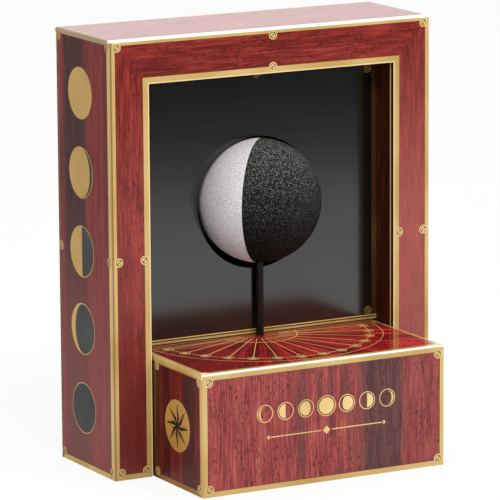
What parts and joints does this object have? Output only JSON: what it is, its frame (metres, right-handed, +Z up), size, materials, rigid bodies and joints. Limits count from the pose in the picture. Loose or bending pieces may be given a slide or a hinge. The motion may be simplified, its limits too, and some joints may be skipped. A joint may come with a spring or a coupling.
{
  "type": "moon phase desk clock",
  "caption": "Free-standing desk clock in a printed card case, whose half light, half dark moon ball turns on a stem in a niche over a day dial.",
  "frame": {"origin": "middle of the underside of the bounding box, on the surface that the clock stands on", "axes": "+Z up, +Y to the back, +X to the right of someone who faces the dial"},
  "size_m": [0.144, 0.089, 0.175],
  "materials": {
    "front_wood_print": "satin",
    "side_wood_print": "satin",
    "base_wood_print": "satin",
    "niche_wood_print": "satin",
    "dial_print": "gloss",
    "top_wood_print": "gloss",
    "black_gloss_panel": "gloss",
    "plain_card": "matte",
    "moon_light": "matte",
    "moon_dark": "matte",
    "black_rod": "gloss",
    "movement_plastic": "satin",
    "wheel_plastic": "satin",
    "brass": "satin",
    "steel": "satin",
    "copper_wire": "satin",
    "circuit": "satin",
    "cell_wrap": "satin",
    "tin": "satin"
  },
  "bodies": {
    "case": {"case_front_left_stile": "front_wood_print", "case_front_right_stile": "front_wood_print", "case_front_top_rail": "front_wood_print", "case_left_side": "side_wood_print", "case_right_side": "side_wood_print", "case_top": "top_wood_print", "case_back": "side_wood_print", "case_leg_floors": "plain_card", "niche_left_wall": "niche_wood_print", "niche_right_wall": "niche_wood_print", "niche_ceiling": "niche_wood_print", "backdrop_panel": "black_gloss_panel", "base_front": "base_wood_print", "base_left_side": "base_wood_print", "base_right_side": "base_wood_print", "dial_plate": "dial_print", "base_floor": "plain_card", "movement_shelf": "plain_card", "shelf_runners": "plain_card", "movement_housing": "movement_plastic", "movement_cover": "movement_plastic", "cover_screws": "steel", "movement_bush": "brass", "bush_washer": "steel", "bush_nut": "brass", "output_pivot": "steel", "middle_pin": "steel", "middle_collar": "movement_plastic", "motor_block": "movement_plastic", "motor_coil": "copper_wire", "motor_stator": "steel", "circuit_board": "circuit", "circuit_feet": "movement_plastic", "crystal_can": "tin", "battery_contacts": "tin"},
    "moon": {"output_wheel": "wheel_plastic", "output_arbor": "steel", "arbor_hub": "black_rod", "stem": "black_rod", "moon_light_half": "moon_light", "moon_dark_half": "moon_dark"},
    "middle_gear": {"middle_wheel": "wheel_plastic"},
    "motor_gear": {"motor_pinion": "wheel_plastic"},
    "setting_wheel": {"setting_gear": "wheel_plastic", "setting_thumbwheel": "movement_plastic"},
    "battery": {"battery_cell": "cell_wrap", "battery_cap": "tin"},
    "hatch": {"battery_hatch": "plain_card"}
  },
  "joints": [
    {"name": "moon_turn", "type": "hinge", "parent": "case", "child": "moon", "pos_m": [0, 0.0085, 0.104], "axis": [0, 0, 1], "continuous": true},
    {"name": "middle_gear_turn", "type": "hinge", "parent": "case", "child": "middle_gear", "pos_m": [-0.0112, 0.0085, 0.025], "axis": [0, 0, 1], "continuous": true},
    {"name": "motor_gear_turn", "type": "hinge", "parent": "case", "child": "motor_gear", "pos_m": [-0.0112, -0.0011, 0.025], "axis": [0, 0, 1], "continuous": true},
    {"name": "setting_wheel_turn", "type": "hinge", "parent": "case", "child": "setting_wheel", "pos_m": [0.00905, -0.00055, 0.02], "axis": [0, 0, 1], "continuous": true},
    {"name": "battery_drop", "type": "slide", "parent": "case", "child": "battery", "axis": [0, 0, -1], "range_m": [0, 0.03]},
    {"name": "hatch_drop", "type": "slide", "parent": "case", "child": "hatch", "axis": [0, 0, -1], "range_m": [0, 0.048]}
  ],
  "couplings": [
    {"joint": "middle_gear_turn", "follows": "moon_turn", "ratio": -6},
    {"joint": "motor_gear_turn", "follows": "moon_turn", "ratio": 30},
    {"joint": "setting_wheel_turn", "follows": "moon_turn", "ratio": -3},
    {"joint": "hatch_drop", "follows": "battery_drop", "ratio": 1.6}
  ]
}
